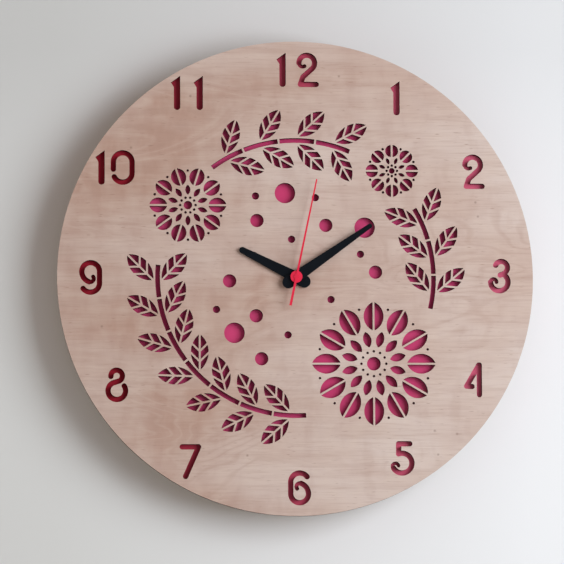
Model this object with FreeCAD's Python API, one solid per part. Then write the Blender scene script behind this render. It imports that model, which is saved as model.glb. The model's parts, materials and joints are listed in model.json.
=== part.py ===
import FreeCAD, Part
import math
import os

os.makedirs("parts", exist_ok=True)

# A round laser-cut plywood wall clock with a quartz movement, in millimetres.
# The face looks along -Y, +Z is up, and the hands turn about the Y axis.
# A depth is the distance of a level in front of the wall, so y = -depth.

# Panels
face_diameter = 300.0
face_thickness = 4.0
backing_inset = 1.0
backing_thickness = 5.0
nut_pocket_diameter = 17.0
nut_pocket_depth = 3.0
face_hole_diameter = 8.6

# Movement shell
case_depth = 16.0
case_corner_radius = 3.0
case_wall = 1.2
case_front_wall = 0.9
bay_divider_wall = 1.0
bay_clearance = 0.3
battery_spring_room = 2.3
train_floor = 10.9
motor_wall_gap = 0.79
cover_thickness = 1.2
cover_tab_width = 7.0
cover_tab_length = 5.0
cover_tab_thickness = 0.9
cover_tab_height = 8.0
cover_latch_reach = 0.5
cover_latch_height = 1.0
latch_clearance = 0.1

# Hanger, gasket, bush, washer and nut
bracket_thickness = 1.0
bracket_width = 24.0
bracket_foot = 13.0
bracket_case_gap = 2.0
bracket_step_back = 3.0
nail_hole_diameter = 6.0
nail_hole_margin = 4.5
bracket_top_margin = 6.5
gasket_thickness = 1.0
gasket_diameter = 34.0
bush_diameter = 7.9
bush_flange_diameter = 10.0
bush_flange_thickness = 0.8
bush_hole_clearance = 0.1
bush_tip_gap = 0.3
nut_across_flats = 12.0
nut_thickness = 2.0
washer_diameter = 14.0
washer_thickness = 0.4

# Shafts and pipes on the hands' axis
hour_pipe_diameter = 5.0
hour_pipe_reach = 2.4
minute_pipe_diameter = 3.3
minute_pipe_reach = 4.5
second_shaft_diameter = 1.0
second_shaft_reach = 6.35
running_fit = 0.05
spigot_step = 0.2
pivot_diameter = 0.7

# Hands
hand_thickness = 0.5
hour_hand_length = 39.8
minute_hand_length = 58.2
second_hand_length = 63.0
second_hand_tail = 18.6
hand_tail_reach = 9.8
hand_tail_radius = 3.9
hour_tip_radius = 2.0
minute_tip_radius = 1.45
hour_hand_lift = 1.6
hour_to_minute_lift = 1.6
minute_to_second_lift = 1.9
collet_diameter = 6.6
collet_gap = 0.3
second_tip_width = 0.8
second_tail_width = 1.5
second_hub_radius = 1.5
second_boss_diameter = 7.5
second_boss_gap = 0.4
hour_hand_angle = 296.9
minute_hand_angle = 55.2
second_hand_angle = 12.0

# Wheel train: module, and teeth of each mesh
rotor_module = 0.22
fifth_module = 0.35
second_module = 0.25
cannon_module = 0.3
rotor_teeth = 8
fifth_wheel_teeth = 48
fifth_pinion_teeth = 8
second_wheel_teeth = 40
second_pinion_teeth = 8
third_wheel_teeth = 60
third_pinion_teeth = 8
centre_wheel_teeth = 64
cannon_teeth = 12
minute_wheel_teeth = 36
minute_pinion_teeth = 10
hour_wheel_teeth = 40
setting_teeth = 12
addendum_share = 0.9
dedendum_share = 1.15
root_half_share = 0.27
tip_half_share = 0.08
fifth_angle = 100.0
third_angle = 30.0
rotor_angle = 120.0
minute_wheel_angle = 180.0
setting_angle = 150.0
motion_wheel_thickness = 1.0
train_wheel_thickness = 0.8
level_gap = 0.35
boss_radius = 1.0
boss_end_gap = 0.4
post_diameter = 1.3
bridge_thickness = 1.0
bridge_gap = 0.9
bridge_margin = 2.6
pivot_stand_off = 0.25

# Posts that carry the bridge, as shares of half the motor's span
bridge_post_radius = 1.5
bridge_pin_radius = 0.8
bridge_post_shares = ((-0.765, -0.58), (0.915, -0.58), (0.933, 0.803), (-0.84, 0.767))

# Setting knob
knob_diameter = 11.0
knob_thickness = 2.4
knob_bridge_gap = 2.2
knob_flute_count = 18
knob_flute_radius = 0.45
knob_hole_clearance = 0.5
knob_shaft_diameter = 2.4

# Stepping motor
magnet_diameter = 5.6
magnet_length = 3.0
magnet_gap = 0.6
stator_thickness = 1.0
stator_eye_radius = 5.0
stator_eye_gap = 0.35
stator_bar_width = 4.2
stator_bar_rise = 2.5
stator_half_span = 15.0
stator_leg_width = 5.0
core_width = 4.2
core_rise = 8.8
motor_pin_radius = 0.8
motor_post_radius = 1.9
bobbin_tube_radius = 2.7
bobbin_flange_radius = 3.6
bobbin_flange_thickness = 0.8
bobbin_end_gap = 0.6
winding_radius = 3.45
core_fit = 0.05

# Electrics
board_left = 16.3
board_top = 12.0
board_thickness = 1.0
board_bridge_gap = 1.1
board_post_radius = 1.5
board_post_inset = 2.2
chip_side = 5.0
chip_thickness = 1.2
chip_height_share = 0.25
crystal_diameter = 2.0
crystal_length = 6.0
crystal_lead_length = 2.0
crystal_lead_radius = 0.2
crystal_lead_half_gap = 0.5
contact_thickness = 0.4
contact_rise = 4.6
contact_width = 7.0
contact_strip_width = 2.0
battery_diameter = 14.3
battery_length = 50.5
battery_nub_diameter = 5.4
battery_nub_length = 1.3
battery_rim = 0.6

# Numerals on the dial
numeral_edge_margin = 8.3
numeral_height = 21.8
numeral_stroke_share = 0.155
digit_gap = 3.8
one_gap = 6.8
one_one_gap = 8.4
# Each numeral's shift from an even ring, rightwards and up, as shares of the numeral's height
numeral_shift_shares = {
    1: (-0.087, 0.041), 2: (-0.014, 0.096), 3: (-0.1, 0.055), 4: (-0.087, 0.041),
    5: (0.041, -0.032), 6: (0.073, -0.073), 7: (-0.06, -0.119), 8: (0.028, -0.106),
    9: (0.087, -0.005), 10: (-0.014, 0.183), 11: (-0.128, 0.17), 12: (0.087, 0.055),
}

# Leaf sprays, blossoms and dots that are cut through the face
bridge_width = 1.2
stem_width = 3.0
seed_radius = 0.8
leaf_lean_angle = 44.0
leaf_vein_angle = 46.0
leaf_vein_shares = (0.27, 0.55)
heart_share = 0.11
seed_ring_share = 0.2
bead_ring_share = 0.9
inner_petal_share = 0.27
outer_petal_share = 0.53
petal_fill_share = 0.6
petal_width_share = 0.25

# The wreath's radius as a share of the field inside the numerals, and sizes of leaves and dots
# as shares of the wreath's radius
wreath_share = 0.7256
leaf_length_share = 0.2644
leaf_half_width_share = 0.0644
dot_diameter_shares = (0.053, 0.097, 0.149)

# Distance from the hands' axis as a share of the wreath's radius, direction in degrees,
# radius as a share of the wreath's radius, and number of petals
blossom_shares = ((0.84, -48, 0.45, 12), (0.94, 146, 0.28, 10), (1.05, 48, 0.19, 8))
# First and last direction of each spray in degrees, and its pairs of leaves
spray_first_angle = (-86, 127, -13)
spray_last_angle = (-186, 66, 31)
leaf_pair_count = (7, 4, 3)
# Distance share and direction of the small, medium and large dots
dot_place_shares = (
    ((0.5, 20), (0.6, 76), (0.34, 152), (0.62, 202), (0.42, 262), (0.3, 328), (0.66, 116), (0.28, 96)),
    ((0.44, 60), (0.58, 4), (0.48, 183), (0.4, 224), (0.64, 247), (0.5, 124)),
    ((0.62, 36), (0.62, 97), (0.6, 222)),
)

overrun = case_wall

numeral_ring_radius = face_diameter / 2 - numeral_edge_margin - numeral_height / 2
wreath_radius = wreath_share * (numeral_ring_radius - numeral_height / 2)
leaf_length = leaf_length_share * wreath_radius
leaf_half_width = leaf_half_width_share * wreath_radius

bracket_back = case_depth
gasket_back = bracket_back + bracket_thickness
backing_back = gasket_back + gasket_thickness
face_back = backing_back + backing_thickness
face_front = face_back + face_thickness
pocket_back = face_back - nut_pocket_depth
bush_front = face_back - bush_tip_gap


def spot(x, depth, z):
    return FreeCAD.Vector(x, -depth, z)


def polar(radius, degrees, centre=(0, 0)):
    turn = math.radians(degrees)
    return (centre[0] + radius * math.cos(turn), centre[1] + radius * math.sin(turn))


def disc(radius, back, front, centre=(0, 0)):
    start = spot(centre[0], back, centre[1])
    return Part.makeCylinder(radius, front - back, start, FreeCAD.Vector(0, -1, 0))


def ring(outer_radius, inner_radius, back, front, centre=(0, 0)):
    bore = disc(inner_radius, back - overrun, front + overrun, centre)
    return disc(outer_radius, back, front, centre).cut(bore)


def block(left, right, back, front, bottom, top):
    return Part.makeBox(right - left, front - back, top - bottom, spot(left, front, bottom))


def outline(depth, start, *steps):
    """A closed wire: a step is an end point, or a pair of a point on an arc and its end."""
    edges = []
    here = spot(start[0], depth, start[1])
    for step in steps:
        if isinstance(step[0], tuple):
            via = spot(step[0][0], depth, step[0][1])
            end = spot(step[1][0], depth, step[1][1])
            edges.append(Part.Arc(here, via, end).toShape())
        else:
            end = spot(step[0], depth, step[1])
            edges.append(Part.LineSegment(here, end).toShape())
        here = end
    return Part.Wire(edges)


def circle_wire(radius, depth, centre=(0, 0)):
    place = spot(centre[0], depth, centre[1])
    return Part.Wire(Part.makeCircle(radius, place, FreeCAD.Vector(0, 1, 0)))


def prism(wire, thickness):
    return Part.Face(wire).extrude(spot(0, thickness, 0))


def fused(first, *others):
    return first.multiFuse(list(others)).removeSplitter() if others else first


def save(shape, node):
    solids = shape.Solids
    kept = solids[0] if len(solids) == 1 else Part.makeCompound(solids)
    kept.exportStep("parts/" + node + ".step")


# Gears


def pitch_radius(module, teeth):
    return module * teeth / 2


def gear(module, teeth, phase, back, front, centre=(0, 0)):
    """Straight-flanked teeth with free backlash; one tooth points along phase."""
    root = pitch_radius(module, teeth) - dedendum_share * module
    tip = pitch_radius(module, teeth) + addendum_share * module
    pitch = 360 / teeth
    corners = []
    for number in range(teeth):
        middle = phase + number * pitch
        corners.append(polar(root, middle - root_half_share * pitch, centre))
        corners.append(polar(tip, middle - tip_half_share * pitch, centre))
        corners.append(polar(tip, middle + tip_half_share * pitch, centre))
        corners.append(polar(root, middle + root_half_share * pitch, centre))
    return prism(outline(back, corners[0], *corners[1:], corners[0]), front - back)


def gap_phase(direction, teeth):
    """Phase that puts a gap of this gear where its partner's tooth points along direction."""
    return direction + 180 + 180 / teeth


def centre_distance(module, teeth, partner_teeth):
    return pitch_radius(module, teeth) + pitch_radius(module, partner_teeth)


fifth_distance = centre_distance(fifth_module, fifth_pinion_teeth, second_wheel_teeth)
third_distance = centre_distance(second_module, second_pinion_teeth, third_wheel_teeth)
rotor_distance = centre_distance(rotor_module, rotor_teeth, fifth_wheel_teeth)
minute_distance = centre_distance(cannon_module, cannon_teeth, minute_wheel_teeth)
setting_distance = centre_distance(cannon_module, setting_teeth, minute_wheel_teeth)
centre_module = 2 * third_distance / (third_pinion_teeth + centre_wheel_teeth)
hour_module = 2 * minute_distance / (minute_pinion_teeth + hour_wheel_teeth)

fifth_centre = polar(fifth_distance, fifth_angle)
third_centre = polar(third_distance, third_angle)
rotor_centre = polar(rotor_distance, rotor_angle, fifth_centre)
minute_centre = polar(minute_distance, minute_wheel_angle)
setting_centre = polar(setting_distance, setting_angle, minute_centre)

# Half the side of the square case: what its battery, its wheels or its motor needs
battery_half = (battery_length + battery_spring_room) / 2 + contact_thickness + case_wall
bay_half = train_floor + bay_divider_wall + battery_diameter + 2 * bay_clearance + case_wall
motor_half = rotor_centre[1] + core_rise + bobbin_flange_radius + motor_wall_gap + case_wall
half_case = max(battery_half, bay_half, motor_half)
bracket_step_start = half_case + bracket_case_gap
nail_hole_height = bracket_step_start + bracket_step_back + nail_hole_margin
bracket_top = nail_hole_height + bracket_top_margin

# Depths of the wheels, from the inside of the case's front wall towards the back
inner_front = case_depth - case_front_wall
hour_front = inner_front - bush_flange_thickness - level_gap
hour_back = hour_front - motion_wheel_thickness
cannon_front = hour_back - level_gap
cannon_back = cannon_front - motion_wheel_thickness
centre_front = cannon_back - level_gap
centre_back = centre_front - train_wheel_thickness
third_front = centre_back - level_gap
third_back = third_front - train_wheel_thickness
second_front = third_back - level_gap
second_back = second_front - train_wheel_thickness
fifth_front = second_back - level_gap
fifth_back = fifth_front - train_wheel_thickness
bridge_front = fifth_back - bridge_gap
bridge_back = bridge_front - bridge_thickness
pivot_back = bridge_back + pivot_stand_off
knob_front = bridge_back - knob_bridge_gap
magnet_level = fifth_front + magnet_gap + magnet_length / 2
board_back = bridge_front + board_bridge_gap
boss_back = centre_front + boss_end_gap
pivot_radius = pivot_diameter / 2
pivot_hole_radius = pivot_radius + running_fit
post_radius = post_diameter / 2
knob_shaft_radius = knob_shaft_diameter / 2

bay_top = -half_case + case_wall + battery_diameter + 2 * bay_clearance
divider_top = bay_top + bay_divider_wall
inner_side = half_case - case_wall
battery_height = -half_case + case_wall + bay_clearance + battery_diameter / 2
battery_level = inner_front - bay_clearance - battery_diameter / 2
battery_right = inner_side - contact_thickness
battery_left = battery_right - battery_length
contact_back = battery_level - contact_width / 2


# Panels


def numeral_point(corner, share):
    return (corner[0] + share[0] * numeral_height, corner[1] + share[1] * numeral_height)


def line_stroke(start_share, end_share):
    return ("line", start_share, end_share)


def arc_stroke(middle_share, radius_share, from_degrees, to_degrees, weight_share=1.0):
    return ("arc", middle_share, radius_share, from_degrees, to_degrees, weight_share)


# Strokes of each digit, as shares of the numeral's height from its lower left corner.
# Every counter stays open, so that no island falls out of the panel.
six_stroke_shares = (
    arc_stroke((0.342, 0.667), 0.262, 36, 180),
    line_stroke((0.08, 0.667), (0.08, 0.33)),
    arc_stroke((0.335, 0.33), 0.255, 180, 360),
    arc_stroke((0.27, 0.33), 0.32, 0, 70),
    arc_stroke((0.345, 0.537), 0.1, 66, 215, 0.75),
)
digit_stroke_shares = {
    "0": (
        arc_stroke((0.345, 0.657), 0.27, 0, 180),
        line_stroke((0.075, 0.657), (0.075, 0.45)),
        arc_stroke((0.345, 0.343), 0.27, 205, 360),
        line_stroke((0.615, 0.343), (0.615, 0.657)),
    ),
    "2": (
        arc_stroke((0.3, 0.7), 0.227, -42, 180),
        arc_stroke((0.18, 0.7), 0.107, 180, 300, 0.72),
        line_stroke((0.469, 0.548), (0.185, 0.29)),
        line_stroke((0.185, 0.29), (0.11, 0.075)),
        line_stroke((0.11, 0.075), (0.57, 0.075)),
    ),
    "3": (
        arc_stroke((0.4, 0.75), 0.178, -42, 158),
        line_stroke((0.5, 0.585), (0.365, 0.53)),
        arc_stroke((0.338, 0.328), 0.253, -180, 46),
        arc_stroke((0.17, 0.328), 0.085, 0, 180, 0.72),
    ),
    "4": (
        line_stroke((0.45, 0.93), (0.45, 0.075)),
        line_stroke((0.437, 0.93), (0.08, 0.32)),
        line_stroke((0.08, 0.32), (0.235, 0.31)),
    ),
    "5": (
        line_stroke((0.255, 0.925), (0.575, 0.925)),
        line_stroke((0.255, 0.925), (0.255, 0.635)),
        arc_stroke((0.35, 0.367), 0.285, -148, 110),
        arc_stroke((0.16, 0.27), 0.09, 15, 228, 0.66),
    ),
    "6": six_stroke_shares,
    "7": (
        line_stroke((0.075, 0.925), (0.545, 0.925)),
        line_stroke((0.545, 0.925), (0.17, 0.075)),
    ),
    "8": (
        arc_stroke((0.325, 0.757), 0.165, -62, 185),
        line_stroke((0.4025, 0.611), (0.2115, 0.553)),
        arc_stroke((0.33, 0.33), 0.2525, 118, 393),
    ),
    "9": six_stroke_shares,
}
one_corner_shares = ((0.27, 1.0), (0.0, 0.8), (0.085, 0.667))
digit_width_shares = {
    "0": 0.69, "1": 0.27, "2": 0.65, "3": 0.67, "4": 0.53,
    "5": 0.71, "6": 0.665, "7": 0.62, "8": 0.66, "9": 0.665,
}


def stroke_faces(stroke, corner, depth):
    """A stroke of even width with round ends, as flat faces that overlap."""
    half = numeral_stroke_share / 2 * numeral_height
    if stroke[0] == "line":
        start = numeral_point(corner, stroke[1])
        end = numeral_point(corner, stroke[2])
        heading = math.degrees(math.atan2(end[1] - start[1], end[0] - start[0]))
        body = outline(
            depth,
            polar(half, heading + 90, start),
            polar(half, heading + 90, end),
            polar(half, heading - 90, end),
            polar(half, heading - 90, start),
            polar(half, heading + 90, start),
        )
    else:
        half = half * stroke[5]
        middle = numeral_point(corner, stroke[1])
        radius = stroke[2] * numeral_height
        first, last = stroke[3], stroke[4]
        between = (first + last) / 2
        start = polar(radius, first, middle)
        end = polar(radius, last, middle)
        body = outline(
            depth,
            polar(radius - half, first, middle),
            (polar(radius - half, between, middle), polar(radius - half, last, middle)),
            polar(radius + half, last, middle),
            (polar(radius + half, between, middle), polar(radius + half, first, middle)),
            polar(radius - half, first, middle),
        )
    wires = [body, circle_wire(half, depth, start), circle_wire(half, depth, end)]
    return [Part.Face(wire) for wire in wires]


def one_wire(corner, depth):
    """The digit one: a sharp flag at the top left of a stem with a round foot."""
    top, flag, notch = [numeral_point(corner, share) for share in one_corner_shares]
    foot_radius = (top[0] - notch[0]) / 2
    foot = (notch[0] + foot_radius, corner[1] + foot_radius)
    under = (polar(foot_radius, -90, foot), polar(foot_radius, 0, foot))
    return outline(depth, top, flag, notch, polar(foot_radius, 180, foot), under, top)


def digit_wire(digit, corner, depth):
    if digit == "1":
        return one_wire(corner, depth)
    faces = []
    for stroke in digit_stroke_shares[digit]:
        faces.extend(stroke_faces(stroke, corner, depth))
    glyph = faces[0].multiFuse(faces[1:]).removeSplitter()
    wire = max(glyph.Faces, key=lambda face: face.Area).OuterWire
    if digit == "9":
        middle = numeral_point(corner, (digit_width_shares[digit] / 2, 1 / 2))
        wire.rotate(spot(middle[0], depth, middle[1]), FreeCAD.Vector(0, 1, 0), 180)
    return wire


def digit_width(digit):
    return digit_width_shares[digit] * numeral_height


def numeral_wires(depth):
    gaps = {"10": digit_gap, "11": one_one_gap, "12": one_gap}
    wires = []
    for hour in range(1, 13):
        text = str(hour)
        gap = gaps.get(text, 0)
        total = sum(digit_width(digit) for digit in text) + gap * (len(text) - 1)
        middle = numeral_point(polar(numeral_ring_radius, 90 - 30 * hour), numeral_shift_shares[hour])
        left = middle[0] - total / 2
        for digit in text:
            wires.append(digit_wire(digit, (left, middle[1] - numeral_height / 2), depth))
            left += digit_width(digit) + gap
    return wires


def leaf_frame(origin, degrees, side):
    """Maps a place along and across a leaf to the face."""
    turn = math.radians(degrees)

    def place(along, across):
        across = across * side
        x = origin[0] + along * math.cos(turn) - across * math.sin(turn)
        z = origin[1] + along * math.sin(turn) + across * math.cos(turn)
        return (x, z)

    return place


def leaf_half(place, length, half_width, vein_shares, depth):
    """Cells of one half of a leaf, between its midrib, its side veins and its curved edge."""
    arc_radius = (length ** 2 / 4 + half_width ** 2) / (2 * half_width)
    arc_drop = arc_radius - half_width
    rib = bridge_width / 2
    slope = math.radians(leaf_vein_angle)

    def edge_height(along):
        return math.sqrt(arc_radius ** 2 - (along - length / 2) ** 2) - arc_drop

    def edge_hit(start):
        along = start - length / 2
        up = rib + arc_drop
        product = along * math.cos(slope) + up * math.sin(slope)
        run = -product + math.sqrt(product ** 2 - along ** 2 - up ** 2 + arc_radius ** 2)
        return start + run * math.cos(slope)

    reach = math.sqrt(arc_radius ** 2 - (rib + arc_drop) ** 2)
    base, tip = length / 2 - reach, length / 2 + reach
    half_cut = bridge_width / 2 / math.sin(slope)
    starts = [base] + [length * share + half_cut for share in vein_shares]
    ends = [length * share - half_cut for share in vein_shares] + [tip]
    wires = []
    for start, end in zip(starts, ends):
        first = start if start == base else edge_hit(start)
        last = end if end == tip else edge_hit(end)
        via = (first + last) / 2
        corners = []
        if end != tip:
            corners.append(place(end, rib))
        corners.append(place(last, rib if end == tip else edge_height(last)))
        top = place(first, rib if start == base else edge_height(first))
        corners.append((place(via, edge_height(via)), top))
        if start != base:
            corners.append(place(start, rib))
        wires.append(outline(depth, place(start, rib), *corners))
    return wires


def leaf_wires(origin, degrees, length, half_width, vein_shares, depth):
    wires = []
    for side in (1, -1):
        place = leaf_frame(origin, degrees, side)
        wires.extend(leaf_half(place, length, half_width, vein_shares, depth))
    return wires


def lens_wire(origin, degrees, length, half_width, depth):
    place = leaf_frame(origin, degrees, 1)
    upper = (place(length / 2, half_width), place(length, 0))
    lower = (place(length / 2, -half_width), place(0, 0))
    return outline(depth, place(0, 0), upper, lower)


def blossom_wires(centre, radius, petals, depth):
    """A rosette: a middle hole, a ring of seeds, inner petals, split outer petals and beads."""
    wires = [circle_wire(heart_share * radius, depth, centre)]
    for number in range(petals):
        heading = 360 / petals * number
        between = heading + 180 / petals
        seed = polar(seed_ring_share * radius, heading, centre)
        bead = polar(bead_ring_share * radius, between, centre)
        wires.append(circle_wire(seed_radius, depth, seed))
        wires.append(circle_wire(seed_radius, depth, bead))
        inner = polar(inner_petal_share * radius, between, centre)
        inner_length = (outer_petal_share - inner_petal_share) * radius
        wires.append(lens_wire(inner, between, inner_length, inner_length * petal_width_share, depth))
        outer = polar(outer_petal_share * radius, heading, centre)
        outer_length = (1 - outer_petal_share) * radius
        half_width = math.tan(math.radians(180 / petals)) * radius * petal_fill_share
        wires.extend(leaf_wires(outer, heading, outer_length, half_width, (), depth))
    return wires


def spray_wires(first, last, pairs, depth):
    """A leafy spray along the wreath's circle, from one angle to another."""
    pitch = (last - first) / pairs
    side = 1 if pitch > 0 else -1
    gap = math.degrees(bridge_width / wreath_radius) * side
    inner = wreath_radius - stem_width / 2
    outer = wreath_radius + stem_width / 2
    wires = []
    for number in range(pairs):
        start = first + number * pitch
        end = start + pitch - gap
        middle = (start + end) / 2
        wires.append(
            outline(
                depth,
                polar(inner, start),
                (polar(inner, middle), polar(inner, end)),
                polar(outer, end),
                (polar(outer, middle), polar(outer, start)),
                polar(inner, start),
            )
        )
        root = start + pitch / 2
        ahead = root + 90 * side
        for way in (1, -1):
            base = polar(wreath_radius + way * (stem_width / 2 + bridge_width), root)
            heading = ahead - way * side * leaf_lean_angle
            wires.extend(
                leaf_wires(base, heading, leaf_length, leaf_half_width, leaf_vein_shares, depth)
            )
    return wires


def ornament_wires(depth):
    wires = []
    for distance_share, degrees, radius_share, petals in blossom_shares:
        centre = polar(distance_share * wreath_radius, degrees)
        wires.extend(blossom_wires(centre, radius_share * wreath_radius, petals, depth))
    for first, last, pairs in zip(spray_first_angle, spray_last_angle, leaf_pair_count):
        wires.extend(spray_wires(first, last, pairs, depth))
    for places, diameter_share in zip(dot_place_shares, dot_diameter_shares):
        radius = diameter_share * wreath_radius / 2
        for distance_share, degrees in places:
            centre = polar(distance_share * wreath_radius, degrees)
            wires.append(circle_wire(radius, depth, centre))
    return wires


def face_panel():
    depth = face_back
    wires = [circle_wire(face_diameter / 2, depth), circle_wire(face_hole_diameter / 2, depth)]
    wires.extend(numeral_wires(depth))
    wires.extend(ornament_wires(depth))
    sheet = Part.makeFace(Part.makeCompound(wires), "Part::FaceMakerBullseye")
    return sheet.extrude(spot(0, face_thickness, 0))


def backing_panel():
    bush_hole = bush_diameter / 2 + bush_hole_clearance
    plate = ring(face_diameter / 2 - backing_inset, bush_hole, backing_back, face_back)
    return plate.cut(disc(nut_pocket_diameter / 2, pocket_back, face_back + overrun))


# Hanger, gasket, bush, washer and nut


def hanger_bracket():
    """A pressed plate round the bush, stepped back above the case to carry the nail hole."""
    foot, step, top = -bracket_foot, bracket_step_start, bracket_top
    front, back = bracket_back + bracket_thickness, bracket_back
    low = step + bracket_step_back
    corners = (
        (foot, back), (foot, front), (step, front), (low, front - bracket_step_back),
        (top, front - bracket_step_back), (top, back - bracket_step_back),
        (low, back - bracket_step_back), (step, back), (foot, back),
    )
    points = [spot(-bracket_width / 2, depth, height) for height, depth in corners]
    plate = Part.Face(Part.makePolygon(points)).extrude(FreeCAD.Vector(bracket_width, 0, 0))
    bush_hole = disc(bush_diameter / 2 + bush_hole_clearance, back - overrun, front + overrun)
    nail_back = back - bracket_step_back - overrun
    nail_hole = disc(nail_hole_diameter / 2, nail_back, front, (0, nail_hole_height))
    return plate.cut(bush_hole).cut(nail_hole)


def rubber_gasket():
    hole = bush_diameter / 2 + bush_hole_clearance
    return ring(gasket_diameter / 2, hole, gasket_back, backing_back)


def threaded_bush():
    bore = hour_pipe_diameter / 2 + running_fit
    flange = ring(bush_flange_diameter / 2, bore, inner_front - bush_flange_thickness, inner_front)
    tube = ring(bush_diameter / 2, bore, inner_front, bush_front)
    return fused(flange, tube)


def stem_washer():
    hole = bush_diameter / 2 + bush_hole_clearance
    return ring(washer_diameter / 2, hole, pocket_back, pocket_back + washer_thickness)


def stem_nut():
    back = pocket_back + washer_thickness
    radius = nut_across_flats / 2 / math.cos(math.radians(30))
    corners = [polar(radius, 60 * number) for number in range(6)]
    body = prism(outline(back, corners[0], *corners[1:], corners[0]), nut_thickness)
    return body.cut(disc(bush_diameter / 2, back - overrun, back + nut_thickness + overrun))


# Movement shell


def with_round_corners(plate, radius):
    edges = []
    for edge in plate.Edges:
        way = edge.tangentAt(edge.FirstParameter)
        if abs(way.y) > abs(way.x) + abs(way.z):
            edges.append(edge)
    return plate.makeFillet(radius, edges)


def case_block(back, front, side, corner):
    return with_round_corners(block(-side, side, back, front, -side, side), corner)


def bridge_posts():
    half = stator_half_span
    return [(half * across, half * up) for across, up in bridge_post_shares]


def board_right():
    return inner_side - contact_thickness


def board_posts():
    across = board_right() - board_post_inset
    low = divider_top + contact_thickness + board_post_inset
    return [(across, low), (across, board_top - board_post_inset)]


def motor_posts():
    rise = rotor_centre[1] + core_rise
    return [(rotor_centre[0] + side * stator_half_span, rise) for side in (-1, 1)]


def latch_blocks(extra):
    """The cover's two latch noses, or their windows in the side walls when extra is given."""
    blocks = []
    height = cover_tab_height
    back = cover_thickness + cover_tab_length - cover_latch_height
    front = cover_thickness + cover_tab_length
    for side in (-1, 1):
        near = side * inner_side
        far = side * (inner_side + cover_latch_reach + extra)
        low, high = height - cover_tab_width / 2, height + cover_tab_width / 2
        left, right = min(near, far), max(near, far)
        blocks.append(block(left, right, back - extra, front + extra, low - extra, high + extra))
    return blocks


def movement_case():
    shell = case_block(0, case_depth, half_case, case_corner_radius)
    hollow = case_block(-overrun, inner_front, inner_side, case_corner_radius - case_wall)
    divider = block(-inner_side, inner_side, 0, inner_front, bay_top, divider_top)
    pieces = [shell.cut(hollow), divider]
    for centre in (fifth_centre, third_centre, rotor_centre):
        pieces.append(disc(boss_radius, boss_back, inner_front, centre))
    sleeve_radius = knob_shaft_radius + case_wall
    pieces.append(disc(sleeve_radius, cannon_front + level_gap, inner_front, setting_centre))
    pieces.append(disc(post_radius - running_fit, cannon_back, inner_front, minute_centre))
    for centre in bridge_posts():
        pieces.append(disc(bridge_post_radius, bridge_front, inner_front, centre))
        pieces.append(disc(bridge_pin_radius, bridge_back - pivot_stand_off, bridge_front, centre))
    for centre in board_posts():
        pieces.append(disc(board_post_radius, board_back + board_thickness, inner_front, centre))
        pieces.append(disc(bridge_pin_radius, board_back - pivot_stand_off, inner_front, centre))
    stator_front = magnet_level + stator_thickness / 2
    core_back = stator_front - 2 * stator_thickness
    for centre in motor_posts():
        pieces.append(disc(motor_post_radius, stator_front, inner_front, centre))
        pieces.append(disc(motor_pin_radius, core_back - pivot_stand_off, stator_front, centre))
    body = fused(*pieces)
    far_side = half_case + overrun
    cover_room = block(-far_side, far_side, -overrun, cover_thickness, divider_top, far_side)
    body = body.cut(cover_room)
    for centre in (fifth_centre, third_centre, rotor_centre):
        body = body.cut(disc(pivot_hole_radius, boss_back - overrun, inner_front, centre))
    knob_hole = knob_shaft_radius + running_fit
    body = body.cut(disc(knob_hole, cannon_front, inner_front, setting_centre))
    body = body.cut(disc(bush_diameter / 2, inner_front - overrun, case_depth + overrun))
    contact_front = contact_back + contact_width
    slot_bottom, slot_top = bay_top - overrun, divider_top + overrun
    for side in (-1, 1):
        near, far = side * inner_side, side * (inner_side - contact_thickness)
        left, right = min(near, far), max(near, far)
        body = body.cut(block(left, right, contact_back, contact_front, slot_bottom, slot_top))
    for window in latch_blocks(latch_clearance):
        body = body.cut(window)
    return body


def back_cover():
    plate = case_block(0, cover_thickness, half_case, case_corner_radius)
    keep = block(-half_case, half_case, 0, cover_thickness, divider_top, half_case)
    plate = plate.common(keep)
    pieces = [plate]
    low = cover_tab_height - cover_tab_width / 2
    for side in (-1, 1):
        near, far = side * inner_side, side * (inner_side - cover_tab_thickness)
        left, right = min(near, far), max(near, far)
        front = cover_thickness + cover_tab_length
        pieces.append(block(left, right, cover_thickness, front, low, low + cover_tab_width))
    pieces.extend(latch_blocks(0))
    body = fused(*pieces)
    knob_hole = knob_diameter / 2 + knob_hole_clearance
    return body.cut(disc(knob_hole, -overrun, cover_thickness + overrun, setting_centre))


def train_bridge():
    """A moulded plate on four posts, bored for the rear pivots and the setting shaft."""
    posts = bridge_posts()
    left = setting_centre[0] - knob_shaft_radius - bridge_margin
    right = max(post[0] for post in posts) + bridge_margin
    bottom = divider_top + contact_thickness
    top = rotor_centre[1] + bridge_margin
    plate = block(left, right, bridge_back, bridge_front, bottom, top)
    plate = with_round_corners(plate, bridge_margin)
    for centre in posts:
        plate = plate.cut(disc(bridge_pin_radius, bridge_back - overrun, bridge_front + overrun, centre))
    for centre in ((0, 0), fifth_centre, third_centre, rotor_centre):
        plate = plate.cut(disc(pivot_hole_radius, bridge_back - overrun, bridge_front + overrun, centre))
    shaft_hole = knob_shaft_radius + running_fit
    return plate.cut(disc(shaft_hole, bridge_back - overrun, bridge_front + overrun, setting_centre))


# Wheels


def pivoted_arbor(centre, back, front):
    pivot_front = inner_front - pivot_stand_off
    thin = disc(pivot_radius, pivot_back, pivot_front, centre)
    thick = disc(pivot_diameter, back, front, centre)
    return [thin, thick]


def rotor_pinion():
    phase = rotor_angle + 180
    toothed = gear(rotor_module, rotor_teeth, phase, fifth_back, fifth_front, rotor_centre)
    magnet_back = magnet_level - magnet_length / 2
    arbor = pivoted_arbor(rotor_centre, fifth_back - level_gap, magnet_back)
    return fused(toothed, *arbor)


def rotor_magnet():
    back, front = magnet_level - magnet_length / 2, magnet_level + magnet_length / 2
    return ring(magnet_diameter / 2, pivot_radius, back, front, rotor_centre)


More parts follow.
